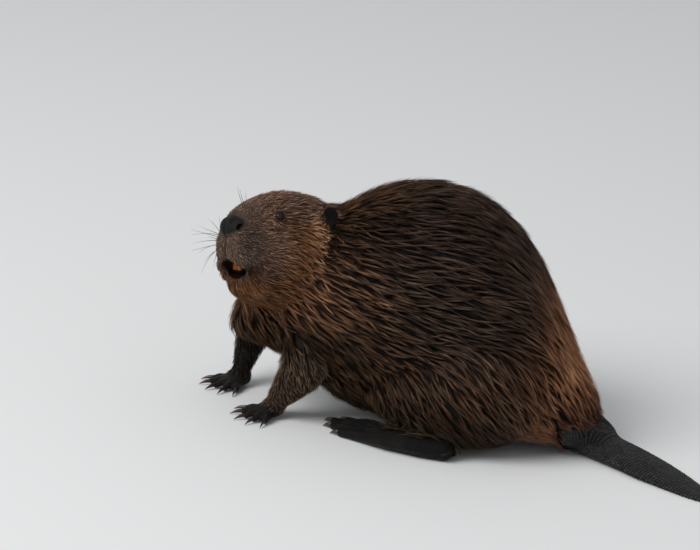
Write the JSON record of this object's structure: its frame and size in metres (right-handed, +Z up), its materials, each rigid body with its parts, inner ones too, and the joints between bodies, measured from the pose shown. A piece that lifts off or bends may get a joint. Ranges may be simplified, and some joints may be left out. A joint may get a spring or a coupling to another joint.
{
  "type": "beaver",
  "caption": "Still, life-size North American beaver, hunched on its hind feet with its forefeet down, head turned to its left and a flat scaly tail behind.",
  "frame": {"origin": "on the floor, under the middle of the whole animal's box", "axes": "+Z up, -Y towards the animal's front, +X to the animal's own left"},
  "size_m": [0.3198, 0.7384, 0.3436],
  "materials": {
    "coat": "wet brown guard hair in pointed locks, reddish on the ridges and near black between them",
    "dark_coat": "short blackish-brown hair",
    "nose_leather": "moist dark leather",
    "foot_leather": "wrinkled dark leather",
    "tail_scale": "dark grey leather in small flat scales",
    "claw": "pinkish-brown horn with a soft sheen",
    "tooth": "smooth orange enamel",
    "eye": "wet black"
  },
  "bodies": {
    "root": {"trunk": "coat", "neck": "coat", "head": "coat", "lower_jaw": "coat", "nose": "nose_leather", "eye_left": "eye", "ear_left": "dark_coat", "incisor_left": "tooth", "foreleg_left": "dark_coat", "hind_leg_left": "coat", "forepaw_left": "foot_leather", "hind_foot_left": "foot_leather", "fore_claw_left_1": "claw", "fore_claw_left_2": "claw", "fore_claw_left_3": "claw", "fore_claw_left_4": "claw", "fore_claw_left_5": "claw", "hind_claw_left_1": "claw", "hind_claw_left_2": "claw", "hind_claw_left_3": "claw", "hind_claw_left_4": "claw", "hind_claw_left_5": "claw", "eye_right": "eye", "ear_right": "dark_coat", "incisor_right": "tooth", "foreleg_right": "dark_coat", "hind_leg_right": "coat", "forepaw_right": "foot_leather", "hind_foot_right": "foot_leather", "fore_claw_right_1": "claw", "fore_claw_right_2": "claw", "fore_claw_right_3": "claw", "fore_claw_right_4": "claw", "fore_claw_right_5": "claw", "hind_claw_right_1": "claw", "hind_claw_right_2": "claw", "hind_claw_right_3": "claw", "hind_claw_right_4": "claw", "hind_claw_right_5": "claw", "tail_base": "coat", "tail": "tail_scale"}
  },
  "joints": []
}
